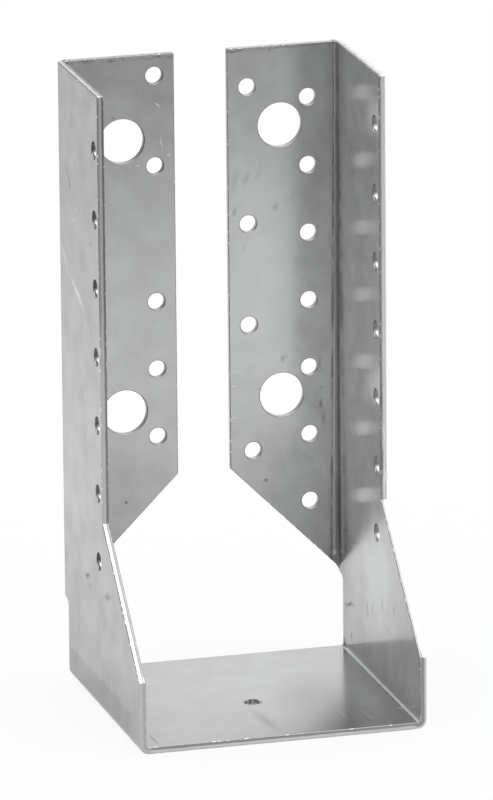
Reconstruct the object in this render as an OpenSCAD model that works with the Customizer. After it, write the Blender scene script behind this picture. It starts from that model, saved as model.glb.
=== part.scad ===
// Joist hanger with inward flanges, folded from one punched sheet of galvanised steel.
// +Z is up and +Y points at the header that the flanges lie against.
// The seat's underside is on Z = 0, and the origin is under the middle of the hanger.

/* [Sheet] */
// Thickness of the sheet
sheet_t = 2; // [1.5:0.1:3]
// Inside radius of every fold
fold_r = 0.8; // [0.6:0.1:3]

/* [Pocket] */
// Clear width between the side walls, for the joist
joist_w = 80; // [74:1:140]
// Height of the walls and flanges above the seat's underside
height = 181; // [176:1:240]
// Depth from the seat's front edge to the flanges' back face
depth = 84; // [70:1:120]
// How far the seat's back edge stays ahead of the flange folds
relief = 3.2; // [2.5:0.1:10]

/* [Side walls] */
// Depth of the walls' upper part, back to the flanges' back face
wall_depth = 45.5; // [36:0.5:60]
// Height at which the front edge leaves the seat's depth and starts to slope back
slope_low = 21; // [12:0.5:40]
// Height at which the sloping front edge meets the upper part
slope_high = 56.7; // [46:0.1:80]
// Radius in the corner between a flange's lower edge and the wall's back edge
corner_r = 2; // [0.5:0.1:2.4]

/* [Flanges] */
// Width of each flange, from the wall's outer face to the free edge
flange_w = 34.2; // [30:0.1:36]
// Height of the lower edge where it leaves the fold
flange_low = 25.3; // [20:0.1:32]
// Rise of the lower edge towards the free edge, in degrees
flange_slope = 45; // [30:1:50]
// How far the lower edge drops on its way round the fold
fold_drop = 2.3; // [1:0.1:5]

/* [Bolt holes] */
// Diameter of the bolt holes
bolt_d = 13; // [9:0.5:15]
// Distance between the two bolt holes of a flange
bolt_pitch = 80; // [60:1:90]
// Distance of the bolt holes from the wall's outer face
bolt_inset = 18.7; // [16:0.1:22]
// Distance of the right upper bolt hole from the top edge
right_bolt_top = 23.4; // [18:0.1:34]
// Distance of the left upper bolt hole from the top edge
left_bolt_top = 24.8; // [18:0.1:34]

/* [Nail holes] */
// Diameter of the nail holes
nail_d = 5; // [4:0.1:6]
// Distance between the nail holes of a column
nail_pitch = 20; // [14:1:30]
// Least width of metal left between a nail hole and an edge or a bolt hole
bridge = 2; // [1:0.1:3]
// Height below which the columns have no nail hole
nail_floor = 40; // [36:1:60]
// Distance of a wall's column from its upper front edge
wall_nail_edge = 4.2; // [4:0.1:12]
// Height of a wall column's top hole above the upper bolt hole
wall_nail_rise = 8.3; // [0:0.1:12]
// Distance of a flange's outer column from the wall's outer face
outer_nail_inset = 10.4; // [8:0.1:11]
// Height of an outer column's top hole above the upper bolt hole
outer_nail_rise = 7.6; // [6:0.1:12]
// Distance of a flange's inner nail holes from the free edge
inner_nail_edge = 5.9; // [5:0.1:8]
// Distance of the right flange's lowest inner hole from the free edge
stray_nail_edge = 6.8; // [5:0.1:8]
// Height of the right flange's top inner hole above the upper bolt hole
right_nail_rise = 11.8; // [6:0.1:16]
// Drop of the right flange's next inner hole below the upper bolt hole
right_nail_drop = 28.5; // [14:0.1:32]
// Height of the right flange's third inner hole above the lower bolt hole
right_low_nail_rise = 21.5; // [14:0.1:26]
// Drop of the right flange's lowest inner hole below the lower bolt hole
stray_nail_drop = 16; // [10:0.1:20]
// Height of the left flange's top inner hole above the upper bolt hole
left_nail_rise = 18.6; // [6:0.1:20]
// Drop of the left flange's inner column below the upper bolt hole
left_nail_drop = 7.9; // [6:0.1:20]
// Distance of the seat's nail hole from the front edge
seat_nail_front = 32.5; // [10:0.5:50]

/* [Hidden] */

$fn = 64;
zinc = [0.72, 0.73, 0.74];

fold_out = fold_r + sheet_t;
half_w = joist_w / 2 + sheet_t;
back_y = depth / 2;
front_y = back_y - depth;
wall_front_y = back_y - wall_depth;
// Axis of a flange fold, which is also where the flat parts of seat, walls and flanges end
fold_x = half_w - fold_out;
fold_y = back_y - fold_out;
seat_back_y = fold_y - relief;
free_x = half_w - flange_w;
wall_corner_z = flange_low - fold_drop;
// How far a cut reaches past the metal it goes through
over = 1;

bolt_x = half_w - bolt_inset;
inner_x = free_x + inner_nail_edge;
right_bolts = bolt_holes(right_bolt_top);
left_bolts = bolt_holes(left_bolt_top);

// The flange's lower cut is ruled across the fold: straight through the sheet, and falling evenly
cut_steps = 8;
cut_margin = 0.5;
cut_corners = [[0, 0], [1, 0], [1, 1], [0, 1]];
cut_angles = [for (i = [-1 : cut_steps + 1]) 90 * i / cut_steps];

// Height of a flange's lower edge at a distance from the middle
function edge_z(x) = flange_low + (fold_x - x) * tan(flange_slope);

// Centres of a flange's bolt holes, as distance from the middle and height
function bolt_holes(top) = [for (i = [0, 1]) [bolt_x, height - top - i * bolt_pitch]];

// Heights of a column's nail holes, from its top hole down
function column(top) = [for (z = [top : -nail_pitch : nail_floor]) z];

// Nail holes at the same distance from the middle
function upright(x, heights) = [for (z = heights) [x, z]];

// True where a nail hole in a flange leaves a bridge to the top, the lower edge and the bolt holes
function room(nail, bolts) =
    height - nail[1] >= nail_d / 2 + bridge
    && (nail[1] - edge_z(nail[0])) * cos(flange_slope) >= nail_d / 2 + bridge
    && min([for (bolt = bolts) norm(nail - bolt)]) >= (nail_d + bolt_d) / 2 + bridge;

// All nail holes of a flange: its outer column and its inner ones
function flange_nails(bolts, inner) = [
    for (nail = concat(upright(half_w - outer_nail_inset, column(bolts[0][1] + outer_nail_rise)), inner))
        if (room(nail, bolts)) nail
];

right_inner = [
    [inner_x, right_bolts[0][1] + right_nail_rise],
    [inner_x, right_bolts[0][1] - right_nail_drop],
    [inner_x, right_bolts[1][1] + right_low_nail_rise],
    [free_x + stray_nail_edge, right_bolts[1][1] - stray_nail_drop]
];
// The left inner column skips its second step
left_steps = [0, 2, 3, 4];
left_inner = [
    [inner_x, left_bolts[0][1] + left_nail_rise],
    for (step = left_steps)
        [inner_x, left_bolts[0][1] - left_nail_drop - step * nail_pitch]
];

// Round holes through a flat outline
module punched(places, d) {
    for (place = places)
        translate(place)
            circle(d = d);
}

// Quarter tube round Z, from +X to +Y, that joins two flat parts
module fold(length) {
    rotate_extrude(angle = 90)
        translate([fold_r, 0])
            square([sheet_t, length]);
}

// Everything below the flange's lower cut, round the fold's own axis
module below_cut() {
    radii = [fold_r - cut_margin, fold_out + cut_margin];
    bottom = wall_corner_z - 2 * fold_drop;
    sections = [
        for (a = cut_angles, corner = cut_corners)
            let (r = radii[corner[0]], top = wall_corner_z + fold_drop * a / 90)
                [r * cos(a), r * sin(a), corner[1] == 0 ? bottom : top]
    ];
    n = len(cut_corners);
    last = len(sections) - n;
    sides = [
        for (i = [0 : n : last - n], k = [0 : n - 1])
            let (a = i + k, b = i + (k + 1) % n)
                each [[a, b, b + n], [a, b + n, a + n]]
    ];
    ends = [[for (k = [n - 1 : -1 : 0]) k], [for (k = [0 : n - 1]) last + k]];
    polyhedron(sections, concat(sides, ends));
}

// The seat, as wide as the space between the axes of its two folds, with its nail hole
module seat() {
    difference() {
        translate([-fold_x, front_y, 0])
            cube([2 * fold_x, seat_back_y - front_y, sheet_t]);
        translate([0, front_y + seat_nail_front, -over])
            cylinder(d = nail_d, h = sheet_t + 2 * over);
    }
}

// One side wall with its column of nail holes, drawn from the axes of its two folds
module wall(bolts) {
    start = [fold_y, fold_out];
    nails = upright(wall_front_y + wall_nail_edge, column(bolts[0][1] + wall_nail_rise));
    outline = [
        [front_y, fold_out],
        [front_y, slope_low],
        [wall_front_y, slope_high],
        [wall_front_y, height],
        [fold_y, height],
        [fold_y, wall_corner_z],
        for (a = [90 : 10 : 180])
            [seat_back_y + corner_r, wall_corner_z - corner_r] + corner_r * [cos(a), sin(a)],
        [seat_back_y, fold_out]
    ];
    translate([half_w - sheet_t, fold_y, fold_out])
        rotate([90, 0, 90])
            linear_extrude(sheet_t)
                difference() {
                    polygon([for (point = outline) point - start]);
                    punched([for (nail = nails) nail - start], nail_d);
                }
}

// One flange with its bolt and nail holes, drawn from the axis of its fold
module flange(bolts, nails) {
    start = [fold_x, 0];
    outline = [
        [free_x, edge_z(free_x)],
        [fold_x, flange_low],
        [fold_x, height],
        [free_x, height]
    ];
    translate([fold_x, back_y, 0])
        rotate([90, 0, 0])
            linear_extrude(sheet_t)
                difference() {
                    polygon([for (point = outline) point - start]);
                    punched([for (bolt = bolts) bolt - start], bolt_d);
                    punched([for (nail = nails) nail - start], nail_d);
                }
}

// Fold between wall and flange, cut off along the flange's lower edge
module flange_fold() {
    start = wall_corner_z - fold_drop;
    translate([fold_x, fold_y, 0])
        difference() {
            translate([0, 0, start])
                fold(height - start);
            below_cut();
        }
}

// Fold between seat and wall
module seat_fold() {
    translate([fold_x, front_y, fold_out])
        rotate([-90, 0, 0])
            fold(seat_back_y - front_y);
}

// Right half without the seat: wall, flange and the two folds
module half(bolts, inner) {
    seat_fold();
    wall(bolts);
    flange_fold();
    flange(bolts, flange_nails(bolts, inner));
}

module hanger() {
    color(zinc) {
        seat();
        half(right_bolts, right_inner);
        mirror([1, 0, 0])
            half(left_bolts, left_inner);
    }
}

hanger();
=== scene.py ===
# %% [markdown]
# # A joist hanger, folded from one punched sheet
#
# The real part starts as a flat blank: a sheet of galvanised steel, 2 mm thick, with every hole already
# punched. Four folds then turn it into a seat, two side walls and two inward flanges. A mesh of it could be
# modelled by pushing boxes together, but then the folds, the sheared edges and the holes have to be
# repaired one by one. This lesson works as the press shop does: it draws the blank, cuts it into triangles,
# gives it thickness and edges, and folds it with one formula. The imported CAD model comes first, because it
# fixes the size and the place of everything.

import bpy
import numpy as np
from mathutils import Matrix, Vector
from mathutils.geometry import delaunay_2d_cdt


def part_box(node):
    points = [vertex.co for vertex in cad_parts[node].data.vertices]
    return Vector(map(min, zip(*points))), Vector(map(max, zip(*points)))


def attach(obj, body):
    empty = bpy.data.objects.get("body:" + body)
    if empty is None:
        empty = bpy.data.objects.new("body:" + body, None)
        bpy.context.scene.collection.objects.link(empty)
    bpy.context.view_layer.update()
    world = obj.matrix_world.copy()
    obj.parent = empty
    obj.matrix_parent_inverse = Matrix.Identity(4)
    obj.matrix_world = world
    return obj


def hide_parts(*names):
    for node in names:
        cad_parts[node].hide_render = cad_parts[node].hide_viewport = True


MM = 0.001
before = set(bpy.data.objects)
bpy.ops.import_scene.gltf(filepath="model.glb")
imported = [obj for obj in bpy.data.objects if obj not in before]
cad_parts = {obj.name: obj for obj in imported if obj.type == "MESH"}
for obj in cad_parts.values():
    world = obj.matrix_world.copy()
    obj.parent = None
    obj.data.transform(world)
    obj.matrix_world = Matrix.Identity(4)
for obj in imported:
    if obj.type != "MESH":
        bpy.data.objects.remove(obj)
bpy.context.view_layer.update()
low, high = (np.array(corner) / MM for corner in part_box("hanger"))
print("the CAD hanger spans", np.round(high - low, 2), "mm")

# %% [markdown]
# ## The camera
#
# The photograph was taken from far away with a long lens, a little to the left and from above. Such a camera
# is given by a place, three angles and a lens. They were measured on the part's own edges and holes, so the
# render can be laid over the photograph. The angles turn about the world's Z, then the camera's own
# right-hand axis, then its line of sight.

# %% The camera
IMAGE_W, IMAGE_H = 493, 800
SENSOR = 36.0
FOCAL_PIXELS = 9797.4
CAMERA_PLACE = (-713.06, -2572.12, 838.35)
YAW, PITCH, ROLL = np.radians([-15.528, -15.689, 0.515])

turn = Matrix.Rotation(YAW, 3, "Z") @ Matrix.Rotation(PITCH, 3, "X") @ Matrix.Rotation(ROLL, 3, "Y")
camera = bpy.data.objects.new("camera", bpy.data.cameras.new("camera"))
camera.data.sensor_width = SENSOR
camera.data.lens = FOCAL_PIXELS * SENSOR / max(IMAGE_W, IMAGE_H)
camera.matrix_world = Matrix.Translation(Vector(CAMERA_PLACE) * MM) @ Matrix(
    (turn.col[0], turn.col[2], -turn.col[1])
).transposed().to_4x4()
bpy.context.scene.collection.objects.link(camera)
bpy.context.scene.camera = camera
print("lens", round(camera.data.lens, 1), "mm")

# %% [markdown]
# ## The blank
#
# Points on the blank have two coordinates. `across` runs from the middle of the seat out to the walls' top
# edges, and `along` runs from the seat's front edge back and round onto the flanges. On the seat they are
# simply x and y. A fold uses up as much sheet as the arc in the middle of its thickness, so a height on a
# wall and a distance from the middle on a flange become blank coordinates by adding that arc.

# %% Sizes of the blank
SHEET = 2.0
FOLD_R = 0.8
FOLD_OUT = FOLD_R + SHEET
ARC = (FOLD_R + SHEET / 2) * np.pi / 2

half_w, back_y, height = high
front_y = low[1]
fold_x = half_w - FOLD_OUT
fold_y = back_y - FOLD_OUT


def on_wall(z):
    """Blank coordinate across the sheet of a height on a wall: flat seat, arc, then the rise above it."""
    return fold_x + ARC + z - FOLD_OUT


def on_flange(x):
    """Blank coordinate along the sheet of a distance from the middle on a flange: wall, arc, then inwards."""
    return fold_y + ARC + fold_x - x


FLANGE_W = 34.2
FLANGE_LOW = 25.3
FOLD_DROP = 2.3
SEAT_BACK = fold_y - 3.2
WALL_FRONT = back_y - 45.5
SLOPE_LOW, SLOPE_HIGH = 21.0, 56.7
free_x = half_w - FLANGE_W
tip_z = FLANGE_LOW + fold_x - free_x
print("each fold takes", round(ARC, 2), "mm of sheet")

# %% [markdown]
# ## The outline
#
# Shears and dies leave corners that are slightly round, and the window behind the seat has a fillet in each
# upper corner. Rounded corners also give every point of the outline one clear outward direction, which the
# edges need later. The corners of the right half are listed from the front edge round to the window, and
# the left half is their mirror image.

# %% The outline
CORNER_R = 0.5
WINDOW_R = 2.0
CORNER_STEPS = 7

right_corners = np.array([
    (on_wall(SLOPE_LOW), front_y, CORNER_R),
    (on_wall(SLOPE_HIGH), WALL_FRONT, CORNER_R),
    (on_wall(height), WALL_FRONT, CORNER_R),
    (on_wall(height), on_flange(free_x), CORNER_R),
    (on_wall(tip_z), on_flange(free_x), CORNER_R),
    (on_wall(FLANGE_LOW), on_flange(fold_x), CORNER_R),
    (on_wall(FLANGE_LOW - FOLD_DROP), fold_y, CORNER_R),
    (on_wall(FLANGE_LOW - FOLD_DROP), SEAT_BACK, WINDOW_R),
])
corners = np.vstack([right_corners, right_corners[::-1] * (-1, 1, 1)])


def rounded(places, radii, steps):
    """Points and outward directions of a closed outline with an arc in each corner.

    An arc starts radius * tan(turn / 2) before its corner, and the outward direction turns evenly by the
    corner's own turn. Its centre lies inside the sheet at a convex corner and outside at a hollow one."""
    into = places - np.roll(places, 1, axis=0)
    into /= np.linalg.norm(into, axis=1, keepdims=True)
    out_of = np.roll(into, -1, axis=0)
    cross = into[:, 0] * out_of[:, 1] - into[:, 1] * out_of[:, 0]
    bend = np.arctan2(cross, (into * out_of).sum(axis=1))
    start = places - into * (radii * np.tan(abs(bend) / 2))[:, None]
    outward = np.stack([into[:, 1], -into[:, 0]], axis=1)
    reach = (radii * np.sign(bend))[:, None]
    centre = start - outward * reach
    angle = bend[:, None] * np.linspace(0, 1, steps)
    cos, sin = np.cos(angle), np.sin(angle)
    normals = np.stack([
        outward[:, :1] * cos - outward[:, 1:] * sin,
        outward[:, :1] * sin + outward[:, 1:] * cos,
    ], axis=2)
    points = centre[:, None] + normals * reach[:, None]
    return points.reshape(-1, 2), normals.reshape(-1, 2)


outline, outline_normals = rounded(corners[:, :2], corners[:, 2], CORNER_STEPS)
print("the outline has", len(outline), "points")

# %% [markdown]
# ## The holes
#
# Each flange has two 13 mm bolt holes and two kinds of 5 mm nail holes: an even column beside the fold, and
# a looser set beside the free edge. Each wall has a column close to its front edge, and the seat has one
# hole in its middle. The right and left sets differ, and the left ones sit a little lower, as on the real
# part. A hole is a circle on the blank, because the folds don't cross it.

# %% The holes
BOLT_R, NAIL_R = 6.5, 2.5
BOLT_PITCH, NAIL_PITCH = 80.0, 20.0
BOLT_INSET, OUTER_INSET = 18.7, 10.4
BOLT_TOP = {1: 23.4, -1: 24.8}
OUTER_RISE, WALL_RISE, WALL_EDGE = 7.6, 8.3, 4.2
INNER_EDGE, STRAY_EDGE = 5.9, 6.8
SEAT_NAIL_FRONT = 32.5
RIGHT_INNER = (11.8, -28.5, 21.5 - BOLT_PITCH)
LEFT_INNER_TOP, LEFT_INNER_DROP = 18.6, 7.9
LEFT_INNER_STEPS = np.array([0, 2, 3, 4])
STRAY_DROP = 16.0
column = np.arange(7) * NAIL_PITCH
inner_x = free_x + INNER_EDGE

holes = [(0.0, front_y + SEAT_NAIL_FRONT, NAIL_R)]
for side, top in BOLT_TOP.items():
    bolt_z = height - top
    inner_z = {
        1: bolt_z + np.array(RIGHT_INNER),
        -1: bolt_z + np.array([LEFT_INNER_TOP, *(-LEFT_INNER_DROP - NAIL_PITCH * LEFT_INNER_STEPS)]),
    }[side]
    flange_sets = [
        (half_w - BOLT_INSET, bolt_z - np.array([0, BOLT_PITCH]), BOLT_R),
        (half_w - OUTER_INSET, bolt_z + OUTER_RISE - column, NAIL_R),
        (inner_x, inner_z, NAIL_R),
    ]
    if side > 0:
        flange_sets.append((free_x + STRAY_EDGE, bolt_z - BOLT_PITCH - np.array([STRAY_DROP]), NAIL_R))
    for x, heights, radius in flange_sets:
        holes += [(side * on_wall(z), on_flange(x), radius) for z in heights]
    holes += [(side * on_wall(bolt_z + WALL_RISE - z), WALL_FRONT + WALL_EDGE, NAIL_R) for z in column]
holes = np.array(holes)
bolt_count = (holes[:, 2] == BOLT_R).sum()
print("punched:", bolt_count, "bolt holes and", len(holes) - bolt_count, "nail holes")

# %% [markdown]
# ## Triangles on the blank
#
# A grid would have to be trimmed at every hole. A constrained Delaunay triangulation takes the outline and
# the circles as they are, and keeps them as edges. The skin of the sheet stops a little before the outline,
# where its edge starts to round over. The folds get straight lines, a few degrees apart, so that the
# triangles there are narrow enough to curve. Triangles outside the metal are dropped by testing their
# middles.

# %% Triangles on the blank
ROLL_OVER = 0.28
FOLD_STEPS = 14
BOLT_SIDES, NAIL_SIDES = 72, 44
PAST = 6.0

skin_line = outline - ROLL_OVER * outline_normals
circles = []
for x, y, radius in holes:
    turnings = np.linspace(0, 2 * np.pi, BOLT_SIDES if radius == BOLT_R else NAIL_SIDES, endpoint=False)
    spokes = np.stack([np.cos(turnings), np.sin(turnings)], axis=1)
    circles.append((x, y) + (radius + ROLL_OVER) * spokes)

arc_steps = np.linspace(0, ARC, FOLD_STEPS + 1)
seat_fold_ends = (front_y - PAST, SEAT_BACK + PAST)
flange_fold_ends = (on_wall(FLANGE_LOW - PAST), on_wall(height + PAST))
fold_lines = []
for side in (1, -1):
    fold_lines += [[(side * (fold_x + step), y) for y in seat_fold_ends] for step in arc_steps]
    fold_lines += [[(side * x, fold_y + step) for x in flange_fold_ends] for step in arc_steps]
fold_lines = np.array(fold_lines)

points, edges, first = [], [], 0
for ring in [skin_line, *circles]:
    number = first + np.arange(len(ring))
    points.append(ring)
    edges.append(np.stack([number, np.roll(number, -1)], axis=1))
    first += len(ring)
points.append(fold_lines.reshape(-1, 2))
edges.append(first + np.arange(2 * len(fold_lines)).reshape(-1, 2))
flat, _, triangles, *_ = delaunay_2d_cdt(
    np.vstack(points).tolist(), np.vstack(edges).tolist(), [], 0, 1e-5, False
)
flat, triangles = np.array(flat), np.array(triangles)


def inside(spots, ring):
    """True for spots that a ray to the right leaves through an odd number of the ring's edges."""
    a, b = ring, np.roll(ring, -1, axis=0)
    x, y = spots[:, :1], spots[:, 1:]
    crosses = (a[:, 1] > y) != (b[:, 1] > y)
    rise = np.where(b[:, 1] == a[:, 1], 1, b[:, 1] - a[:, 1])
    at = a[:, 0] + (y - a[:, 1]) * (b[:, 0] - a[:, 0]) / rise
    return (crosses & (x < at)).sum(axis=1) % 2 == 1


middles = flat[triangles].mean(axis=1)
punched = np.any([inside(middles, ring) for ring in circles], axis=0)
kept = inside(middles, skin_line) & ~punched
used, triangles = np.unique(triangles[kept], return_inverse=True)
flat, triangles = flat[used], triangles.reshape(-1, 3)
print("the blank has", len(triangles), "triangles")

# %% [markdown]
# ## The fold
#
# Folding is one function of the blank. Going out from the middle, the sheet is flat, then it turns through
# a quarter circle, then it rises. Going back along a wall, it turns again and comes inwards. `depth` counts
# from the outer skin, so the radius of an arc is the outer radius less the depth, and the same formula folds
# both skins and everything between them.

# %% The fold


def fold(blank, depth):
    """Folds blank points at a depth below the outer skin into x, y, z.

    Both angles are the part of the arc that was passed, times a quarter turn. Past the arc the sheet goes on
    straight: up the wall, then inwards along the flange."""
    across, along = abs(blank[..., 0]), blank[..., 1]
    radius = FOLD_OUT - depth
    seat_turn = np.clip((across - fold_x) / ARC, 0, 1) * np.pi / 2
    flange_turn = np.clip((along - fold_y) / ARC, 0, 1) * np.pi / 2
    rise = np.maximum(across - fold_x - ARC, 0)
    inwards = np.maximum(along - fold_y - ARC, 0)
    out = np.minimum(across - fold_x, 0) + radius * np.sin(seat_turn)
    z = FOLD_OUT - radius * np.cos(seat_turn) + rise
    x = fold_x + out * np.cos(flange_turn) - inwards
    y = np.minimum(along, fold_y) + np.where(flange_turn > 0, out, 0) * np.sin(flange_turn)
    return np.stack([x * np.sign(blank[..., 0] + 1e-9), y, z], axis=-1)


NUDGE = 1e-4


def directions(blank, depth):
    """Unit vectors across, along and into the folded sheet, from small steps on the blank."""
    here = fold(blank, depth)
    moved = [
        fold(blank + (NUDGE, 0), depth) - here,
        fold(blank + (0, NUDGE), depth) - here,
        fold(blank, depth + NUDGE) - here,
    ]
    return [m / np.linalg.norm(m, axis=-1, keepdims=True) for m in moved]


# %% [markdown]
# ## Sheared edges
#
# A sheared or punched edge isn't a sharp step. The sheet rolls over where the tool went in, runs straight
# through the thickness, and rolls over again on the other side. That profile, two quarter rounds with a
# straight wall between them, is carried along every open edge of the skin: round the outline and through
# each hole. Its normals come from the same formula, so the flat skins stay flat in the light up to their
# last fraction of a millimetre.

# %% Sheared edges
ROLL_STEPS = 5

sides = np.vstack([triangles[:, [0, 1]], triangles[:, [1, 2]], triangles[:, [2, 0]]])
code = sides[:, 0] * len(flat) + sides[:, 1]
open_sides = sides[~np.isin(code, sides[:, 1] * len(flat) + sides[:, 0])]
rim, ends = np.unique(open_sides, return_inverse=True)
ends = ends.reshape(-1, 2)

ring_points = [skin_line, *circles]
ring_normals = [outline_normals] + [
    (hole[:2] - ring) / (hole[2] + ROLL_OVER) for hole, ring in zip(holes, circles)
]
a = np.vstack(ring_points)
b = np.vstack([np.roll(ring, -1, axis=0) for ring in ring_points])
normal_a = np.vstack(ring_normals)
normal_b = np.vstack([np.roll(normals, -1, axis=0) for normals in ring_normals])
span = b - a
part = ((flat[rim][:, None] - a) * span).sum(axis=2) / (span**2).sum(axis=1)
part = np.clip(part, 0, 1)
gap = np.linalg.norm(a + part[..., None] * span - flat[rim][:, None], axis=2)
nearest = gap.argmin(axis=1)
share = part[np.arange(len(rim)), nearest][:, None]
rim_out = normal_a[nearest] * (1 - share) + normal_b[nearest] * share
rim_out /= np.linalg.norm(rim_out, axis=1, keepdims=True)

quarter = np.linspace(0, np.pi / 2, ROLL_STEPS)
profile_out = ROLL_OVER * np.concatenate([np.sin(quarter), np.sin(quarter[::-1])])
profile_depth = np.concatenate([
    SHEET - ROLL_OVER + ROLL_OVER * np.cos(quarter),
    ROLL_OVER - ROLL_OVER * np.cos(quarter[::-1]),
])
lean_out = np.concatenate([np.sin(quarter), np.sin(quarter[::-1])])
lean_in = np.concatenate([np.cos(quarter), -np.cos(quarter[::-1])])

band_flat = flat[rim][:, None] + rim_out[:, None] * profile_out[:, None]
band_depth = np.broadcast_to(profile_depth, band_flat.shape[:2])
to_side, to_back, to_inside = directions(band_flat, band_depth)
band_normals = (
    (to_side * rim_out[:, None, :1] + to_back * rim_out[:, None, 1:]) * lean_out[:, None]
    + to_inside * lean_in[:, None]
)
band_points = fold(band_flat, band_depth)
print("the profile runs along", len(open_sides), "rim edges")

# %% [markdown]
# ## The folded sheet
#
# Now the pieces of the mesh are put together: the inner skin, the outer skin with its triangles turned
# round, and the edge profile between them. The profile's first and last rows are the skins' own rim points,
# so the mesh is closed. The finish needs to know where a point is, so four things are stored there: whether
# it is on a cut edge, how strong a painted highlight that edge gets as a hole's wall, the direction in which
# reflections are drawn out, and the place on the blank, with the share of the way from the inner to the outer
# skin as third number.

# %% The folded sheet
RIM_LAYER, HOLE_LAYER, WALL_HOLE_LAYER = 0.15, 0.52, 0.38
# Hole walls get a painted highlight where they face up and to the front, weaker on the flanges.
FLANGE_HOLE_HIGHLIGHT = 0.3

count = len(flat)
inner_depth = np.full(count, SHEET)
outer_depth = np.zeros(count)
inner_normals = directions(flat, inner_depth)[2]
outer_normals = -directions(flat, outer_depth)[2]
rows = len(profile_out)
middle_rows = slice(1, rows - 1)
places = np.vstack([
    fold(flat, inner_depth), fold(flat, outer_depth), band_points[:, middle_rows].reshape(-1, 3)
])
normals = np.vstack([inner_normals, outer_normals, band_normals[:, middle_rows].reshape(-1, 3)])

index = np.empty((len(rim), rows), int)
index[:, 0] = rim
index[:, -1] = rim + count
index[:, middle_rows] = 2 * count + np.arange(len(rim) * (rows - 2)).reshape(len(rim), -1)
one, two = index[ends[:, 0]], index[ends[:, 1]]
quads = np.stack([one[:, :-1], one[:, 1:], two[:, 1:], two[:, :-1]], axis=2).reshape(-1, 4)

mesh = bpy.data.meshes.new("hanger_sheet")
mesh.from_pydata(
    (places * MM).tolist(), [], triangles.tolist() + (triangles[:, ::-1] + count).tolist() + quads.tolist()
)
mesh.shade_smooth()
on_edge = np.concatenate([np.zeros(2 * count), np.ones(len(places) - 2 * count)])
on_outline = nearest < len(outline)
in_wall = (abs(flat[rim][:, 0]) > fold_x) & (flat[rim][:, 1] < fold_y)
through = 1 - profile_depth[middle_rows] / SHEET
hole_middle = np.where(in_wall, WALL_HOLE_LAYER, HOLE_LAYER)[:, None]
hole_layer = hole_middle + (RIM_LAYER - hole_middle) * abs(2 * through - 1)
edge_layer = np.where(on_outline[:, None], through, hole_layer)
towards_outer = np.concatenate([np.zeros(count), np.ones(count), edge_layer.ravel()])
on_blank = np.vstack([flat, flat, band_flat[:, middle_rows].reshape(-1, 2)])
# Painted highlight strength for hole walls, which also marks the hole in the seat.
hole_highlight = np.where(flat[rim][:, 1] > fold_y, FLANGE_HOLE_HIGHLIGHT, 1.0) * ~on_outline
on_hole = np.concatenate([np.zeros(2 * count), np.repeat(hole_highlight, rows - 2)])
mesh.attributes.new("cut_edge", "FLOAT", "POINT").data.foreach_set("value", on_edge)
mesh.attributes.new("hole_wall_and_highlight", "FLOAT", "POINT").data.foreach_set("value", on_hole)
mesh.attributes.new("blank", "FLOAT_VECTOR", "POINT").data.foreach_set(
    "vector", np.column_stack([on_blank, towards_outer]).ravel()
)
rim_along = to_back * rim_out[:, None, :1] - to_side * rim_out[:, None, 1:]
brushed = np.vstack([
    directions(flat, inner_depth)[1],
    directions(flat, outer_depth)[1],
    rim_along[:, middle_rows].reshape(-1, 3),
])
mesh.attributes.new("across_rolling", "FLOAT_VECTOR", "POINT").data.foreach_set("vector", brushed.ravel())
mesh.normals_split_custom_set_from_vertices(normals.tolist())
mesh.update()
hanger = bpy.data.objects.new("hanger_sheet", mesh)
bpy.context.scene.collection.objects.link(hanger)
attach(hanger, "root")
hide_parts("hanger")
print("the sheet has", len(places), "points and", len(mesh.polygons), "faces")

# %% [markdown]
# ## Galvanised steel
#
# The sheet was dipped in zinc before it was cut. Fresh zinc is a neutral grey metal that reflects about half
# of the light, and rolling leaves it smooth enough for soft, dim mirror images. Nothing is perfectly even:
# the coating has faint clouds a centimetre or two wide, and short streaks along the way the sheet was rolled.
# One colour with a noise on it would do for a toy. Here clouds and streaks each move one number, the tone,
# between a dark and a light zinc. The clouds sit in space, and the streaks sit on the blank, so that they
# turn with the sheet at every fold.

# %% Galvanised steel
CLOUD_MM = 10
STREAK_LONG_MM, STREAK_WIDE_MM = 6, 1.8
CLOUD_TONE, STREAK_TONE = 0.26, 0.02
SEAT_SHARE, FLANGE_SHARE = 0.4, 0.6


def linear(hex_colour):
    """Turns an sRGB hex colour into linear red, green, blue and alpha."""
    srgb = np.array([int(hex_colour[i:i + 2], 16) for i in (1, 3, 5)]) / 255
    value = np.where(srgb <= 0.04045, srgb / 12.92, ((srgb + 0.055) / 1.055) ** 2.4)
    return (*value, 1.0)


def add(tree, kind, inputs=None, **settings):
    """Adds a node, sets its settings, and links or sets its inputs."""
    new = tree.nodes.new(kind)
    for name, value in settings.items():
        setattr(new, name, value)
    for name, value in (inputs or {}).items():
        if isinstance(value, bpy.types.NodeSocket):
            tree.links.new(value, new.inputs[name])
        else:
            new.inputs[name].default_value = value
    return new


def per_metre(size_mm):
    """Scale of a pattern whose features are about this many millimetres across."""
    return 1 / (size_mm * MM)


zinc = bpy.data.materials.new("galvanised_steel")
zinc.use_nodes = True
tree = zinc.node_tree
shader = tree.nodes["Principled BSDF"]
shader.inputs["Metallic"].default_value = 1.0
where = add(tree, "ShaderNodeTexCoord").outputs["Object"]
blank = add(tree, "ShaderNodeAttribute", attribute_name="blank").outputs["Vector"]
cut_edge = add(tree, "ShaderNodeAttribute", attribute_name="cut_edge").outputs["Fac"]

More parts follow.
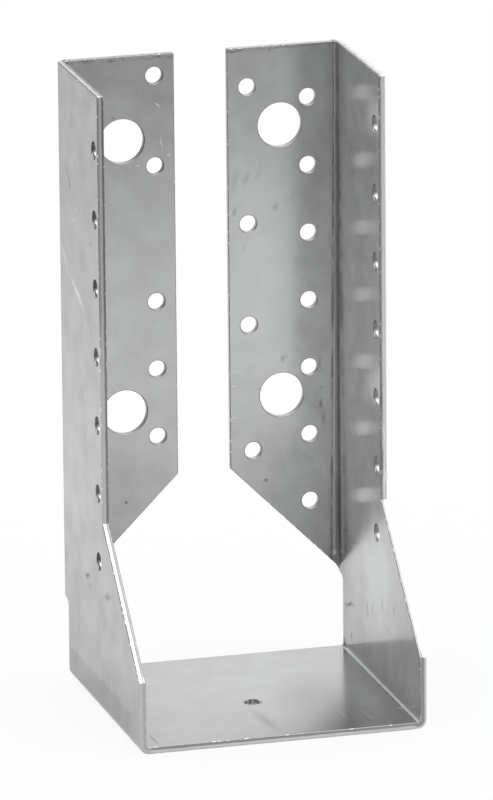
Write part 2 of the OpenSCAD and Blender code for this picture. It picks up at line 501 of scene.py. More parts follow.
clouds = add(tree, "ShaderNodeTexNoise", {
    "Vector": where, "Scale": per_metre(CLOUD_MM), "Detail": 4.0, "Roughness": 0.6,
}, normalize=False).outputs["Fac"]
rolled = add(tree, "ShaderNodeMapping", {
    "Vector": blank, "Scale": (1 / STREAK_LONG_MM, 1 / STREAK_WIDE_MM, STREAK_LONG_MM),
}).outputs["Vector"]
streaks = add(tree, "ShaderNodeTexNoise", {
    "Vector": rolled, "Scale": 1.0, "Detail": 3.0, "Roughness": 0.6,
}, normalize=False).outputs["Fac"]
on_sheet = add(tree, "ShaderNodeSeparateXYZ", {"Vector": blank}).outputs
from_middle = add(tree, "ShaderNodeMath", {0: on_sheet["X"]}, operation="ABSOLUTE").outputs["Value"]
cloudy = add(tree, "ShaderNodeMath", {0: clouds, 1: CLOUD_TONE}, operation="MULTIPLY").outputs["Value"]
uneven = add(tree, "ShaderNodeMath", {
    0: streaks, 1: STREAK_TONE, 2: cloudy,
}, operation="MULTIPLY_ADD").outputs["Value"]
off_seat = add(tree, "ShaderNodeMapRange", {
    "Value": from_middle, "From Min": fold_x, "From Max": on_wall(SLOPE_LOW), "To Min": SEAT_SHARE,
}).outputs["Result"]
off_flange = add(tree, "ShaderNodeMapRange", {
    "Value": on_sheet["Y"], "From Min": fold_y, "From Max": fold_y + ARC,
    "To Min": 1.0, "To Max": FLANGE_SHARE,
}).outputs["Result"]
uneven = add(tree, "ShaderNodeMath", {0: uneven, 1: off_flange}, operation="MULTIPLY").outputs["Value"]
rolled_tone = add(tree, "ShaderNodeMath", {
    0: uneven, 1: off_seat, 2: 0.5,
}, operation="MULTIPLY_ADD").outputs["Value"]
print("clouds of", CLOUD_MM, "mm and streaks of", STREAK_LONG_MM, "x", STREAK_WIDE_MM, "mm")

# %% [markdown]
# ## Marks of handling, and patches of painted light
#
# A hanger from a box of hangers is scratched and smudged in places of its own, and these can't come from a
# noise. Each one is a soft ellipse on a face of the part, with a middle, a length, a width and a turn.
# A Mapping node moves, turns and stretches the space so that the ellipse becomes a ball, and a spherical
# gradient fills it. A little noise on the coordinates keeps the rims from being smooth. The same function
# draws three lists: broad patches that lighten and darken the zinc, bright scratches, and dark smudges. The
# patches are partly uneven zinc and partly painted reflections and painted shade, such as the darker strip
# on the right wall beside its fold.

# %% Marks of handling, and patches of painted light
FACES = {
    "left wall": (0, -half_w),
    "right wall": (0, half_w - SHEET),
    "flange": (1, back_y - SHEET),
    "wall front": (1, WALL_FRONT),
    "seat": (2, SHEET),
}
MARK_DEPTH = 0.8
SHAKE_MM, SHAKE_SIZE_MM = 0.5, 2.5

shake = add(tree, "ShaderNodeTexNoise", {
    "Vector": where, "Scale": per_metre(SHAKE_SIZE_MM), "Detail": 3.0,
}, normalize=False).outputs["Color"]
shaken = add(tree, "ShaderNodeVectorMath", {
    0: shake, 1: (SHAKE_MM * MM,) * 3, 2: where,
}, operation="MULTIPLY_ADD").outputs["Vector"]


def soft_ellipses(tree, at, rows):
    """Sum of soft ellipses. Each fades evenly from its strength in the middle to nothing at its rim.

    A row holds the face, the middle's two coordinates on it, the length, the width, the turn in degrees from
    the first coordinate to the second, and the strength."""
    total = 0.0
    for face, u, v, length, width, turn, strength in rows:
        axis, level = FACES[face]
        turns = np.zeros(3)
        turns[axis] = np.radians(-turn if axis == 1 else turn)
        ball = add(tree, "ShaderNodeMapping", {
            "Vector": at,
            "Location": tuple(np.insert(np.array([u, v], float), axis, level) * MM),
            "Rotation": tuple(turns),
            "Scale": tuple(np.insert(np.array([length, width], float) / 2, axis, MARK_DEPTH) * MM),
        }, vector_type="TEXTURE").outputs["Vector"]
        spot = add(tree, "ShaderNodeTexGradient", {"Vector": ball}, gradient_type="SPHERICAL").outputs["Fac"]
        total = add(tree, "ShaderNodeMath", {
            0: spot, 1: strength, 2: total,
        }, operation="MULTIPLY_ADD").outputs["Value"]
    return total


# Patches: partly uneven zinc and partly painted reflections and painted shade.
patches = [
    ("flange", 20, 120, 400, 68, 90, 0.24),
    ("flange", 14, 145, 120, 56, 90, 0.28),
    ("flange", 34, 34, 60, 26, 90, -0.3),
    ("flange", 20, 58, 60, 50, 90, -0.28),
    ("flange", -26, 46, 56, 44, 90, -0.26),
    ("flange", 33, 172, 40, 24, 90, 0.44),
    ("flange", -22, 140, 120, 60, 90, 0.12),
    ("flange", 33, 66, 44, 20, 90, 0.16),
    ("right wall", 2, 36, 70, 60, 70, 0.62),
    ("right wall", 35, 42, 44, 16, 90, -0.45),
    ("right wall", 18, 115, 200, 90, 90, -0.24),
    ("right wall", -12, 2, 90, 30, 0, -0.62),
    # Painted shade: a long darker strip on the right wall's inner face beside its fold with the flange.
    ("right wall", 39.5, 110, 1000, 22, 90, -0.32),
    ("left wall", 10, 90, 260, 120, 90, 0.06),
    ("left wall", 16, 90, 90, 70, 90, -0.09),
    ("left wall", 10, 34, 90, 50, 0, -0.09),
    ("left wall", 36, 14, 36, 50, 0, -0.22),
    ("left wall", -34, 18, 40, 40, 0, 0.16),
    ("seat", 20, 0, 110, 110, 0, 0.24),
    ("seat", 33, -18, 50, 18, 90, 0.25),
    ("seat", 16.2, -4.7, 44, 22, 74, -0.34),
    ("seat", -1.2, -27.3, 27, 5, -85, -0.45),
]
scratches = [
    ("left wall", 34.4, 124.9, 10, 4.0, 49, 0.7),
    ("left wall", 20.8, 117.9, 22, 3.0, 24, 1.2),
    ("left wall", 24.5, 138.5, 5, 2.2, -14, 0.4),
    ("left wall", 21.5, 142.3, 5, 2.2, -14, 0.3),
    ("left wall", -1.4, 135.0, 3, 1.4, 90, 0.8),
    ("flange", -12.9, 166.1, 3.0, 0.7, -40, 0.9),
    ("flange", -11.9, 155.0, 5.5, 0.5, 96, 0.8),
    ("flange", -18.7, 148.7, 2.2, 0.6, 0, 0.8),
    ("flange", -9.6, 151.2, 1.4, 1.0, 30, 0.9),
    ("seat", 21.0, -28.0, 12, 1.2, 90, 0.5),
    ("seat", 27.5, -31.0, 16, 1.2, -80, 0.5),
    ("seat", 38.4, -27.6, 4.4, 1.6, -43, 1.0),
    ("flange", 38.5, 29.0, 2.4, 2.4, 0, 1.8),
    ("flange", 9.1, 85.8, 1.8, 0.5, 0, 0.8),
    ("flange", 9.0, 81.0, 1.8, 0.5, 5, 0.8),
    ("flange", 8.9, 71.8, 2.0, 0.5, 0, 0.7),
    ("flange", 8.8, 93.0, 1.4, 0.5, -5, 0.6),
    ("flange", 8.6, 154.1, 1.8, 0.5, 0, 0.7),
    ("wall front", 41.2, 64, 6, 0.8, 90, 1.0),
    ("wall front", 41.0, 76, 7, 0.7, 90, 0.9),
]
smudges = [
    ("left wall", 29.6, 150.4, 11, 3.4, 59, 0.4),
    ("left wall", 27.8, 148.2, 4, 2.4, 59, 0.3),
    ("left wall", 6.5, 147.9, 9, 6, 0, 0.14),
    ("left wall", 5.6, 136.1, 4, 2, 0, 0.3),
    ("left wall", 13.9, 129.9, 14, 8, 0, 0.1),
    ("left wall", 8.2, 113.8, 12, 8, 0, 0.12),
    ("left wall", 25.5, 168.0, 9, 4, 80, 0.25),
    ("left wall", 13.7, 36.6, 8, 2.4, -16, 0.9),
    ("left wall", -8.4, 36.6, 10, 3, -16, 0.5),
    ("left wall", 10.5, 34.5, 8, 3, -16, 0.2),
    ("seat", -36.2, -34.5, 14, 1.3, -88, 0.4),
    ("left wall", 1.0, 52.0, 3.0, 1.2, 90, 0.25),
    ("flange", -23.5, 49.2, 1.6, 1.4, 0, 0.9),
    ("flange", -26.0, 163.0, 1.6, 1.2, 40, 0.5),
    ("flange", 9.9, 142.3, 8.0, 2.0, 80, 0.16),
    ("flange", 13.2, 142.6, 6.0, 2.6, 65, 0.22),
    ("flange", 16.8, 143.8, 7.0, 2.6, 70, 0.14),
    ("flange", 21.7, 133.5, 3.2, 2.2, 60, 0.3),
    ("flange", 9.6, 132.8, 4.0, 1.2, 85, 0.35),
    ("flange", 26.6, 135.6, 3.0, 2.4, 70, 0.12),
    ("flange", 12.5, 122.4, 6.0, 1.6, 75, 0.12),
    ("flange", 18.3, 52.4, 1.8, 1.5, 0, 0.8),
    ("flange", 34.8, 86.3, 5.0, 1.2, 90, 0.4),
    ("flange", 35.0, 78.9, 2.0, 1.4, 90, 0.35),
    ("flange", 35.1, 73.8, 4.5, 1.5, 90, 0.7),
    ("flange", 35.6, 69.5, 5.0, 1.6, 90, 0.5),
    ("flange", 24.0, 88.4, 3.0, 2.4, 60, 0.35),
    ("flange", 28.2, 90.5, 2.4, 2.0, 60, 0.15),
    ("flange", -33.5, 180.2, 7.0, 1.6, -4, 0.5),
    ("flange", -32.0, 178.4, 12, 6.0, 0, 0.14),
    ("flange", -26.2, 180.0, 3.6, 1.2, 0, 0.7),
    ("flange", -14.0, 180.0, 18, 1.1, 0, 0.4),
    ("flange", 10.2, 180.2, 8.0, 1.3, 0, 0.7),
    ("flange", 26.0, 180.3, 30, 1.0, 0, 0.4),
    ("wall front", 40.4, 68, 16, 0.9, 90, 0.8),
    ("wall front", 40.5, 86, 18, 0.7, 90, 0.6),
    ("right wall", 29.3, 16.2, 12, 1.9, -16, 1.0),
    ("right wall", 27.2, 7.0, 4.6, 1.4, 90, 0.8),
    ("right wall", 10.5, 19.8, 8.0, 2.4, 90, 0.4),
    ("right wall", 5.3, 22.1, 8.0, 1.8, 90, 0.4),
    ("right wall", -4.8, 25.5, 6.0, 1.8, 90, 0.4),
    ("right wall", -16.4, 27.4, 3.0, 2.0, 90, 0.5),
    ("right wall", -9.8, 20.1, 9.0, 1.0, 10, 0.35),
    ("right wall", 34.8, 3.0, 7.0, 4.0, 0, 0.9),
]
patch_tone = soft_ellipses(tree, where, patches)
bright = soft_ellipses(tree, shaken, scratches)
dark = soft_ellipses(tree, shaken, smudges)
print("marks:", len(patches), "patches,", len(scratches), "scratches,", len(smudges), "smudges")

# %% [markdown]
# ## Marks along the folds
#
# In the folds the zinc is stretched and turns duller, and the seat's folds get a painted highlight that makes
# them lighter. Along each flange fold runs a dark, broken line with a thin painted highlight beside it. Both
# lean a little, because the sheet wasn't quite square in the tool. On the outside of the walls a darker band
# just above the seat, which fades before it reaches the front, is a painted reflection of the table's shadow.
# All of these follow the folds, so they are worked out from distances on the blank: the distance from a
# fold's middle line is one subtraction there.

# %% Marks along the folds
REFLECTED_SHADOW_TOP = 9.6
CREASE_LINE_AT, FOLD_HIGHLIGHT_AT = 3.1, 2.5
TOOL_LEAN = 0.0114
CORE_MM, RIM_MM, FOLD_HIGHLIGHT_MM = 0.25, 0.6, 0.14
RAGGED_MM, REFLECTED_SHADOW_BLUR_MM = 0.8, 0.6
REFLECTED_SHADOW_START, REFLECTED_SHADOW_FULL = front_y + 6, front_y + 14
BROKEN = {"From Min": -0.3, "From Max": 0.4, "To Min": 0.1, "To Max": 0.6}

ragged = add(tree, "ShaderNodeMath", {
    0: clouds, 1: RAGGED_MM, 2: from_middle,
}, operation="MULTIPLY_ADD").outputs["Value"]
seat_fold = add(tree, "ShaderNodeMath", {
    0: from_middle, 1: fold_x + ARC / 2, 2: ARC / 2,
}, operation="COMPARE").outputs["Value"]
flange_gap = add(tree, "ShaderNodeMath", {
    0: on_sheet["Y"], 1: fold_y + ARC / 2,
}, operation="SUBTRACT").outputs["Value"]
flange_fold = add(tree, "ShaderNodeMath", {
    0: flange_gap, 1: 0.0, 2: ARC / 2,
}, operation="COMPARE").outputs["Value"]
in_fold = add(tree, "ShaderNodeMath", {0: seat_fold, 1: flange_fold}, operation="MAXIMUM").outputs["Value"]
# Painted reflection of the table's shadow: the outside of each wall is darker in a band about a centimetre
# high just above the seat, fading out towards the front.
below_reflected_shadow = add(tree, "ShaderNodeMapRange", {
    "Value": ragged, "From Min": on_wall(REFLECTED_SHADOW_TOP) - REFLECTED_SHADOW_BLUR_MM, "From Max": on_wall(REFLECTED_SHADOW_TOP) + REFLECTED_SHADOW_BLUR_MM,
    "To Min": 1.0, "To Max": 0.0,
}).outputs["Result"]
above_seat = add(tree, "ShaderNodeMapRange", {
    "Value": from_middle, "From Min": fold_x, "From Max": fold_x + ARC,
}).outputs["Result"]
on_outer = add(tree, "ShaderNodeMath", {
    0: on_sheet["Z"], 1: above_seat,
}, operation="MULTIPLY").outputs["Value"]
reflected_shadow_band = add(tree, "ShaderNodeMath", {0: below_reflected_shadow, 1: on_outer}, operation="MULTIPLY").outputs["Value"]
off_front = add(tree, "ShaderNodeMapRange", {
    "Value": on_sheet["Y"], "From Min": REFLECTED_SHADOW_START, "From Max": REFLECTED_SHADOW_FULL,
}).outputs["Result"]
reflected_shadow_band = add(tree, "ShaderNodeMath", {0: reflected_shadow_band, 1: off_front}, operation="MULTIPLY").outputs["Value"]
leaning = add(tree, "ShaderNodeMath", {
    0: from_middle, 1: TOOL_LEAN, 2: flange_gap,
}, operation="MULTIPLY_ADD").outputs["Value"]
leaning = add(tree, "ShaderNodeMath", {
    0: leaning, 1: TOOL_LEAN * on_wall(0),
}, operation="SUBTRACT").outputs["Value"]
# Painted highlight: a thin bright line beside each flange fold. The dark broken line next to it is drawn the
# same way.
fold_highlight = add(tree, "ShaderNodeMath", {
    0: leaning, 1: FOLD_HIGHLIGHT_AT, 2: FOLD_HIGHLIGHT_MM,
}, operation="COMPARE").outputs["Value"]
from_line = add(tree, "ShaderNodeMath", {0: leaning, 1: CREASE_LINE_AT}, operation="SUBTRACT").outputs["Value"]
line_gap = add(tree, "ShaderNodeMath", {0: from_line}, operation="ABSOLUTE").outputs["Value"]
crease_line = add(tree, "ShaderNodeMapRange", {
    "Value": line_gap, "From Min": CORE_MM, "From Max": RIM_MM, "To Min": 1.0, "To Max": 0.0,
}).outputs["Result"]
broken = add(tree, "ShaderNodeMapRange", {"Value": clouds, **BROKEN}).outputs["Result"]
crease_mark = add(tree, "ShaderNodeMath", {0: crease_line, 1: broken}, operation="MULTIPLY").outputs["Value"]
# The band whose top is printed here is the painted reflection of the table's shadow.
print("the die's band ends", REFLECTED_SHADOW_TOP, "mm above the floor")

# %% [markdown]
# ## Cut edges
#
# Shears polish a cut edge near the side where they enter and tear it on the other, so the edge is a bundle of
# light and dark lines that wander a little. The share of the way through the sheet is the third number on
# the blank, and a colour ramp turns it into those lines. The cuts weren't made in one stroke, so there is a
# ramp for each kind: dark on the left half and worn lighter lower down, light on the right half, and three
# for the front edges of the seat and the walls. A last ramp says which lines are polished; those get a
# painted highlight where they face up and to the front. The hole in the seat was torn instead of cut, so its
# wall is a rough, patchy grey. The corners of an edge are the first thing to be knocked in a box of parts:
# there, small nicks show bright metal, and just below the top edges some dirt stays behind.

# %% Cut edges
DARK_LINES = [
    (0.0, "#A5A5A5"), (0.14, "#6C6C6C"), (0.28, "#818181"), (0.52, "#C5C5C5"),
    (0.78, "#959595"), (0.86, "#B1B1B1"), (0.94, "#696969"), (1.0, "#959595"),
]
WORN_LINES = [(0.0, "#A5A5A5"), (0.14, "#7C7C7C"), (0.28, "#909090"), (0.48, "#C8C8C8"), (1.0, "#C3C3C3")]
LIGHT_LINES = [
    (0.0, "#A8A8A8"), (0.14, "#7C7C7C"), (0.4, "#D4D4D4"), (0.6, "#E4E4E4"),
    (0.7, "#D1D1D1"), (0.85, "#ECECEC"), (1.0, "#EEEEEE"),
]
SEAT_FRONT = [
    (0.0, "#A8A8A8"), (0.15, "#9B9B9B"), (0.36, "#9B9B9B"), (0.55, "#DFDFDF"),
    (0.68, "#E4E4E4"), (0.82, "#CCCCCC"), (1.0, "#D9D9D9"),
]
LEFT_FRONT = [(0.0, "#C4C4C4"), (0.35, "#B8B8B8"), (0.7, "#CECECE"), (1.0, "#C8C8C8")]
RIGHT_FRONT = [
    (0.0, "#939393"), (0.17, "#AAAAAA"), (0.32, "#979797"), (0.5, "#979797"),
    (0.8, "#D9D9D9"), (1.0, "#EEEEEE"),
]
BLACK, HALF, WHITE = "#000000", "#BCBCBC", "#FFFFFF"
# Which lines of a cut edge get the painted highlight.
HIGHLIGHT_LINES = [
    (0.0, BLACK), (0.14, HALF), (0.24, HALF), (0.32, BLACK), (0.42, BLACK),
    (0.48, WHITE), (0.86, WHITE), (0.94, BLACK), (1.0, BLACK),
]
WANDER, WANDER_MM = 0.04, 4
WORN_FROM, WORN_TO = 100, 120
SPECK_MM = 1.6
TORN_DARK, TORN_LIGHT = "#A8A8A6", "#F4F4F2"
PATCHY = {"From Min": -0.25, "From Max": 0.25}
BITS = {"From Min": 0.3, "From Max": 0.42}
RIM_SHARE = {"From Min": 0.36, "From Max": 0.44}
GRIME_LOW, GRIME_HIGH, GRIME = 2.2, 0.4, 0.4

wander = add(tree, "ShaderNodeTexNoise", {
    "Vector": where, "Scale": per_metre(WANDER_MM), "Detail": 3.0,
}, normalize=False).outputs["Fac"]
layer = add(tree, "ShaderNodeMath", {
    0: wander, 1: WANDER, 2: on_sheet["Z"],
}, operation="MULTIPLY_ADD").outputs["Value"]

greys = []
for stops in (DARK_LINES, WORN_LINES, LIGHT_LINES, SEAT_FRONT, LEFT_FRONT, RIGHT_FRONT, HIGHLIGHT_LINES):
    ramp = add(tree, "ShaderNodeValToRGB", {"Fac": layer})
    for position, _ in stops[1:-1]:
        ramp.color_ramp.elements.new(position)
    for element, (_, grey) in zip(ramp.color_ramp.elements, stops):
        element.color = linear(grey)
    greys.append(ramp.outputs["Color"])
dark_edge, worn_edge, light_edge, front_edge, left_front, right_front, highlight_lines = greys
right_half = add(tree, "ShaderNodeMapRange", {
    "Value": on_sheet["X"], "From Min": fold_x - 1, "From Max": fold_x,
}).outputs["Result"]
at_front = add(tree, "ShaderNodeMapRange", {
    "Value": on_sheet["Y"], "From Min": front_y + 1, "From Max": front_y + 2, "To Min": 1.0, "To Max": 0.0,
}).outputs["Result"]
hole_wall_and_highlight = add(tree, "ShaderNodeAttribute", attribute_name="hole_wall_and_highlight").outputs["Fac"]
on_seat = add(tree, "ShaderNodeMath", {0: from_middle, 1: fold_x}, operation="LESS_THAN").outputs["Value"]
torn = add(tree, "ShaderNodeMath", {0: hole_wall_and_highlight, 1: on_seat}, operation="MULTIPLY").outputs["Value"]
up = add(tree, "ShaderNodeSeparateXYZ", {"Vector": where}).outputs["Z"]
low_down = add(tree, "ShaderNodeMapRange", {
    "Value": up, "From Min": WORN_FROM * MM, "From Max": WORN_TO * MM, "To Min": 1.0, "To Max": 0.0,
}).outputs["Result"]
above_slope = add(tree, "ShaderNodeMath", {
    0: up, 1: (SLOPE_HIGH - 0.3) * MM,
}, operation="GREATER_THAN").outputs["Value"]
worn = add(tree, "ShaderNodeMath", {0: low_down, 1: above_slope}, operation="MULTIPLY").outputs["Value"]
edge_grey = add(tree, "ShaderNodeMix", {
    0: worn, 6: dark_edge, 7: worn_edge,
}, data_type="RGBA").outputs[2]
edge_grey = add(tree, "ShaderNodeMix", {
    0: right_half, 6: edge_grey, 7: light_edge,
}, data_type="RGBA").outputs[2]
left_half = add(tree, "ShaderNodeMapRange", {
    "Value": on_sheet["X"], "From Min": -fold_x, "From Max": 1 - fold_x, "To Min": 1.0, "To Max": 0.0,
}).outputs["Result"]
for half, wall_front in ((left_half, left_front), (right_half, right_front)):
    front_edge = add(tree, "ShaderNodeMix", {
        0: half, 6: front_edge, 7: wall_front,
    }, data_type="RGBA").outputs[2]
edge_grey = add(tree, "ShaderNodeMix", {
    0: at_front, 6: edge_grey, 7: front_edge,
}, data_type="RGBA").outputs[2]
specks = add(tree, "ShaderNodeTexNoise", {
    "Vector": where, "Scale": per_metre(SPECK_MM), "Detail": 2.0,
}, normalize=False).outputs["Fac"]
patchy = add(tree, "ShaderNodeMapRange", {"Value": specks, **PATCHY}).outputs["Result"]
torn_grey = add(tree, "ShaderNodeMix", {
    0: patchy, 6: linear(TORN_DARK), 7: linear(TORN_LIGHT),
}, data_type="RGBA").outputs[2]
edge_grey = add(tree, "ShaderNodeMix", {
    0: torn, 6: edge_grey, 7: torn_grey,
}, data_type="RGBA").outputs[2]
bits = add(tree, "ShaderNodeMapRange", {"Value": specks, **BITS}).outputs["Result"]
to_rim = add(tree, "ShaderNodeMath", {0: on_sheet["Z"], 1: 0.5}, operation="SUBTRACT").outputs["Value"]
to_rim = add(tree, "ShaderNodeMath", {0: to_rim}, operation="ABSOLUTE").outputs["Value"]
on_rim = add(tree, "ShaderNodeMapRange", {"Value": to_rim, **RIM_SHARE}).outputs["Result"]
nicks = add(tree, "ShaderNodeMath", {0: bits, 1: on_rim}, operation="MULTIPLY").outputs["Value"]
below_top = add(tree, "ShaderNodeMapRange", {
    "Value": up, "From Min": (height - GRIME_LOW) * MM, "From Max": (height - GRIME_HIGH) * MM,
    "To Max": GRIME,
}).outputs["Result"]
grime = add(tree, "ShaderNodeMath", {0: bits, 1: below_top}, operation="MULTIPLY").outputs["Value"]
print("the cut edges use", len(greys), "ramps")

# %% [markdown]
# ## The finish put together
#
# Colour and roughness are built up in this order: zinc, the marks along the folds, cut edges, the painted
# highlight on cut edges and hole walls, handling, nicks. The painted highlight only shows where an edge faces
# up and to the front, towards the overhead lamps. The fine lines of rolling draw every reflection out across
# them, which an anisotropic metal does with one number and a direction.
# Last come the shapes that are too small for the mesh: long waves left by the coil, and the grain of the
# zinc. Both only tilt the normal, by a few hundredths of a millimetre of height.

# %% The finish put together
DARK_ZINC, LIGHT_ZINC = "#9A9A98", "#D4D7D6"
# The first colour is a painted highlight on cut edges and hole walls; the others are scratches, dirt and
# nicks.
EDGE_HIGHLIGHT, SCRATCHED, DIRTY, NICKED = "#F0F0EE", "#F4F5F4", "#4E4D4A", "#FAFAF8"
# The three tone steps here are for a painted reflection of the table's shadow, a painted highlight in the
# seat's folds and a painted highlight beside the flange folds.
REFLECTED_SHADOW_TONE, SEAT_FOLD_HIGHLIGHT, FOLD_HIGHLIGHT_TONE = -0.3, 0.6, 0.5
# The painted highlight shows on surfaces that face up and to the front, towards the overhead lamps.
UP_AND_FRONT = (0.0, -0.6, 0.8)
LIT_RANGE = {"From Min": 0.68, "From Max": 0.92, "To Max": 0.9}
ZINC_ROUGH, CLOUD_ROUGH, EDGE_ROUGH, TORN_ROUGH, HOLE_ROUGH = 0.17, 0.03, 0.34, 0.85, 0.14
BRUSHED = 0.58
WAVE_MM, WAVE_HEIGHT_MM = 30, 0.04
GRAIN_MM, GRAIN_HEIGHT_MM = 0.9, 0.002

toned = add(tree, "ShaderNodeMath", {0: rolled_tone, 1: patch_tone}, operation="ADD").outputs["Value"]
# Painted light moves the tone too: a painted reflection of the table's shadow darkens the lowest centimetre
# of the walls' outsides, a painted highlight lightens the seat's folds, and a thin painted highlight runs
# beside each flange fold.
for mark, tone in ((reflected_shadow_band, REFLECTED_SHADOW_TONE), (seat_fold, SEAT_FOLD_HIGHLIGHT), (fold_highlight, FOLD_HIGHLIGHT_TONE)):
    toned = add(tree, "ShaderNodeMath", {
        0: mark, 1: tone, 2: toned,
    }, operation="MULTIPLY_ADD").outputs["Value"]
colour = add(tree, "ShaderNodeMix", {
    0: toned, 6: linear(DARK_ZINC), 7: linear(LIGHT_ZINC),
}, data_type="RGBA").outputs[2]
dirt = add(tree, "ShaderNodeMath", {0: dark, 1: crease_mark}, operation="ADD").outputs["Value"]
dirt = add(tree, "ShaderNodeMath", {0: dirt, 1: grime}, operation="ADD", use_clamp=True).outputs["Value"]
scratched = add(tree, "ShaderNodeMath", {0: bright, 1: 0.0}, operation="ADD", use_clamp=True).outputs["Value"]
colour = add(tree, "ShaderNodeMix", {
    0: cut_edge, 6: colour, 7: edge_grey,
}, data_type="RGBA").outputs[2]
# Painted highlight: cut edges and hole walls that face up and to the front turn near white, strongest on the
# polished lines and the hole walls.
facing = add(tree, "ShaderNodeTexCoord").outputs["Normal"]
slant = add(tree, "ShaderNodeVectorMath", {
    0: facing, 1: UP_AND_FRONT,
}, operation="DOT_PRODUCT").outputs["Value"]
towards_lamps = add(tree, "ShaderNodeMapRange", {"Value": slant, **LIT_RANGE}).outputs["Result"]
highlight_lines = add(tree, "ShaderNodeMath", {0: highlight_lines, 1: hole_wall_and_highlight}, operation="MAXIMUM").outputs["Value"]
highlight_lines = add(tree, "ShaderNodeMath", {0: highlight_lines, 1: torn}, operation="SUBTRACT").outputs["Value"]
lit_lines = add(tree, "ShaderNodeMath", {0: towards_lamps, 1: highlight_lines}, operation="MULTIPLY").outputs["Value"]
painted_highlight = add(tree, "ShaderNodeMath", {0: lit_lines, 1: cut_edge}, operation="MULTIPLY").outputs["Value"]
edge_nicks = add(tree, "ShaderNodeMath", {0: nicks, 1: cut_edge}, operation="MULTIPLY").outputs["Value"]
covers = ((painted_highlight, EDGE_HIGHLIGHT), (scratched, SCRATCHED), (dirt, DIRTY), (edge_nicks, NICKED))
for cover, shade in covers:
    colour = add(tree, "ShaderNodeMix", {
        0: cover, 6: colour, 7: linear(shade),
    }, data_type="RGBA").outputs[2]
tree.links.new(colour, shader.inputs["Base Color"])

rough = ZINC_ROUGH
roughened = ((clouds, CLOUD_ROUGH), (in_fold, 0.5), (dirt, 0.2), (scratched, 0.2), (on_seat, 0.06))
for mark, more in roughened:
    rough = add(tree, "ShaderNodeMath", {
        0: mark, 1: more, 2: rough,
    }, operation="MULTIPLY_ADD").outputs["Value"]
# Hole walls with the painted highlight are also smoother.
highlighted_hole = add(tree, "ShaderNodeMath", {0: painted_highlight, 1: hole_wall_and_highlight}, operation="MULTIPLY").outputs["Value"]
for mark, instead in ((cut_edge, EDGE_ROUGH), (torn, TORN_ROUGH), (highlighted_hole, HOLE_ROUGH)):
    rough = add(tree, "ShaderNodeMix", {"Factor": mark, "A": rough, "B": instead}).outputs["Result"]
tree.links.new(rough, shader.inputs["Roughness"])
across_rolling = add(tree, "ShaderNodeAttribute", attribute_name="across_rolling").outputs["Vector"]
tree.links.new(across_rolling, shader.inputs["Tangent"])
shader.inputs["Anisotropic"].default_value = BRUSHED

waves = add(tree, "ShaderNodeTexNoise", {
    "Vector": where, "Scale": per_metre(WAVE_MM), "Detail": 1.0,
}).outputs["Fac"]
grain = add(tree, "ShaderNodeTexNoise", {
    "Vector": where, "Scale": per_metre(GRAIN_MM), "Detail": 3.0, "Roughness": 0.6,
}).outputs["Fac"]
wavy = add(tree, "ShaderNodeBump", {
    "Height": waves, "Strength": 1.0, "Distance": WAVE_HEIGHT_MM * MM,
}).outputs["Normal"]
grainy = add(tree, "ShaderNodeBump", {
    "Height": grain, "Strength": 1.0, "Distance": GRAIN_HEIGHT_MM * MM, "Normal": wavy,
}).outputs["Normal"]
tree.links.new(grainy, shader.inputs["Normal"])
mesh.materials.append(zinc)
print("galvanised steel has", len(tree.nodes), "nodes")

# %% [markdown]
# ## The studio
#
# The hanger stands on a white table in a bright, even room. A metal shows its surroundings more than its own
# colour, so the surroundings matter here. The table's colour is a painted pool of light, brightest round the
# part and falling off further away, with a little painted shade close to the part, and the metal shows it in
# its reflections. The room is darker to the back left and on the camera's side. What the camera sees
# directly is white, with a faint shadow where the part meets the table.

# %% The studio
FLOOR_HALF = 4.0
# Painted shade close to the part, then a painted pool of light that falls off further away and ahead.
NEAR = {"From Min": 0.05, "From Max": 0.27, "To Min": 0.93, "To Max": 0.97}
FAR = {"From Min": 0.3, "From Max": 0.65, "To Min": 1.0, "To Max": 0.8}
AHEAD = {"From Min": -0.58, "From Max": -0.38, "To Min": 0.66, "To Max": 0.95}
LEFT_SIDE = {"From Min": -0.3, "From Max": 0.15, "To Min": 0.6, "To Max": 1.0}
CAMERA_SIDE = {"From Min": -0.4, "From Max": 0.2, "To Min": 0.6, "To Max": 1.0}
OVERHEAD = {"From Min": 0.4, "From Max": 0.8}
CAMERA_GLOW, MIRROR_GLOW, LAMPS = 0.85, 0.2, 1.6

corner = FLOOR_HALF * np.array([(-1, -1), (1, -1), (1, 1), (-1, 1)])
floor_mesh = bpy.data.meshes.new("floor")
floor_mesh.from_pydata([(x, y, 0.0) for x, y in corner], [], [(0, 1, 2, 3)])
floor = bpy.data.objects.new("floor", floor_mesh)
bpy.context.scene.collection.objects.link(floor)

table = bpy.data.materials.new("white_table")
table.use_nodes = True
tree = table.node_tree
tree.nodes.clear()
rays = add(tree, "ShaderNodeLightPath").outputs
here = add(tree, "ShaderNodeTexCoord").outputs["Object"]
away = add(tree, "ShaderNodeVectorMath", {0: here}, operation="LENGTH").outputs["Value"]
near = add(tree, "ShaderNodeMapRange", {"Value": away, **NEAR}).outputs["Result"]
far = add(tree, "ShaderNodeMapRange", {"Value": away, **FAR}).outputs["Result"]
behind = add(tree, "ShaderNodeSeparateXYZ", {"Vector": here}).outputs["Y"]
ahead = add(tree, "ShaderNodeMapRange", {"Value": behind, **AHEAD}).outputs["Result"]
round_part = add(tree, "ShaderNodeMath", {0: near, 1: far}, operation="MULTIPLY").outputs["Value"]
fall_off = add(tree, "ShaderNodeMath", {0: round_part, 1: ahead}, operation="MULTIPLY").outputs["Value"]
shown = add(tree, "ShaderNodeMix", {
    "Factor": rays["Is Camera Ray"], "A": fall_off, "B": 1.0,
}).outputs["Result"]
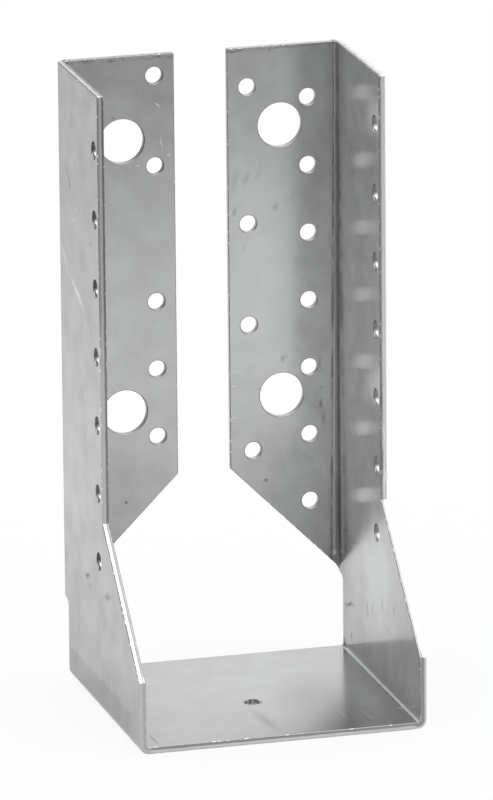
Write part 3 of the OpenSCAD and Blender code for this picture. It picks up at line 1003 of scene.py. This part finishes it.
reflected = add(tree, "ShaderNodeMath", {
    0: rays["Is Glossy Ray"], 1: rays["Is Transmission Ray"],
}, operation="ADD", use_clamp=True).outputs["Value"]
glow_in_mirror = add(tree, "ShaderNodeMath", {
    0: reflected, 1: MIRROR_GLOW,
}, operation="MULTIPLY").outputs["Value"]
glow = add(tree, "ShaderNodeMath", {
    0: rays["Is Camera Ray"], 1: CAMERA_GLOW, 2: glow_in_mirror,
}, operation="MULTIPLY_ADD").outputs["Value"]
paper = add(tree, "ShaderNodeBsdfDiffuse", {"Color": shown}).outputs["BSDF"]
light = add(tree, "ShaderNodeEmission", {"Color": shown}).outputs["Emission"]
surface = add(tree, "ShaderNodeMixShader", {0: glow, 1: paper, 2: light}).outputs["Shader"]
add(tree, "ShaderNodeOutputMaterial", {"Surface": surface})
floor_mesh.materials.append(table)

world = bpy.data.worlds.new("studio")
world.use_nodes = True
bpy.context.scene.world = world
tree = world.node_tree
rays = add(tree, "ShaderNodeLightPath").outputs
sight = add(tree, "ShaderNodeTexCoord").outputs["Generated"]
axes = add(tree, "ShaderNodeSeparateXYZ", {"Vector": sight}).outputs
sideways = add(tree, "ShaderNodeMapRange", {
    "Value": axes["X"], **LEFT_SIDE,
}, interpolation_type="SMOOTHSTEP").outputs["Result"]
frontal = add(tree, "ShaderNodeMapRange", {
    "Value": axes["Y"], **CAMERA_SIDE,
}, interpolation_type="SMOOTHSTEP").outputs["Result"]
room = add(tree, "ShaderNodeMath", {0: sideways, 1: frontal}, operation="MULTIPLY").outputs["Value"]
overhead = add(tree, "ShaderNodeMapRange", {
    "Value": axes["Z"], **OVERHEAD,
}, interpolation_type="SMOOTHSTEP").outputs["Result"]
room = add(tree, "ShaderNodeMix", {"Factor": overhead, "A": room, "B": LAMPS}).outputs["Result"]
level = add(tree, "ShaderNodeMix", {"Factor": rays["Is Glossy Ray"], "A": 1.0, "B": room}).outputs["Result"]
tree.links.new(level, tree.nodes["Background"].inputs["Color"])
bpy.context.scene.view_settings.view_transform = "Standard"
print("the studio is", 2 * FLOOR_HALF, "m wide")
